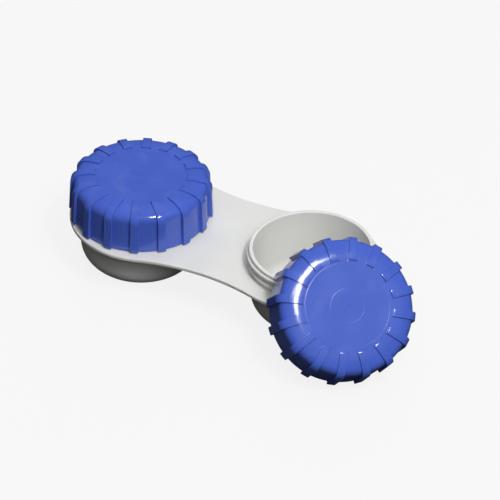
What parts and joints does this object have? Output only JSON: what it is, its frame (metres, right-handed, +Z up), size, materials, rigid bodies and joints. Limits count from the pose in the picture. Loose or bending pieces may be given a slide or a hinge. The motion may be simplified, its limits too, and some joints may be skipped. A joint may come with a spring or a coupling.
{
  "type": "contact lens case",
  "caption": "Flat contact lens case: a waisted plate with two threaded wells and ribbed screw caps, one closed and one off and leaning.",
  "frame": {"origin": "centre of the left well's flat foot, on the table the case stands on", "axes": "+X from the left well to the right well, +Y towards the back, +Z up along the well axes"},
  "size_m": [0.0795, 0.0426, 0.0256],
  "materials": {
    "base_plastic": "smooth satin moulding",
    "cap_plastic": "glossy moulding",
    "seal_rubber": "soft matt elastomer"
  },
  "bodies": {
    "base": {"base": "base_plastic"},
    "left_seal": {"left_seal": "seal_rubber"},
    "left_cap": {"left_cap": "cap_plastic"},
    "right_seal": {"right_seal": "seal_rubber"},
    "right_cap": {"right_cap": "cap_plastic"}
  },
  "joints": [
    {"name": "left_seal_lift", "type": "slide", "parent": "base", "child": "left_seal", "axis": [0, 0, 1], "range_m": [0, 0.0048]},
    {"name": "left_cap_turn", "type": "hinge", "parent": "left_seal", "child": "left_cap", "pos_m": [0, 0, 0.01145], "axis": [0, 0, 1], "range_deg": [0, 1080]},
    {"name": "right_cap_swing", "type": "hinge", "parent": "base", "child": "right_seal", "pos_m": [0.0385, -0.0005, -0.0056], "axis": [-0.7096, -0.7046, 0], "range_deg": [0, 45.3]},
    {"name": "right_cap_turn", "type": "hinge", "parent": "right_seal", "child": "right_cap", "pos_m": [0.04912, -0.0112, 0.01031], "axis": [0.5009, -0.5044, 0.7034], "continuous": true}
  ],
  "couplings": [
    {"joint": "left_seal_lift", "follows": "left_cap_turn", "m_per_rad": 0.00025464}
  ]
}
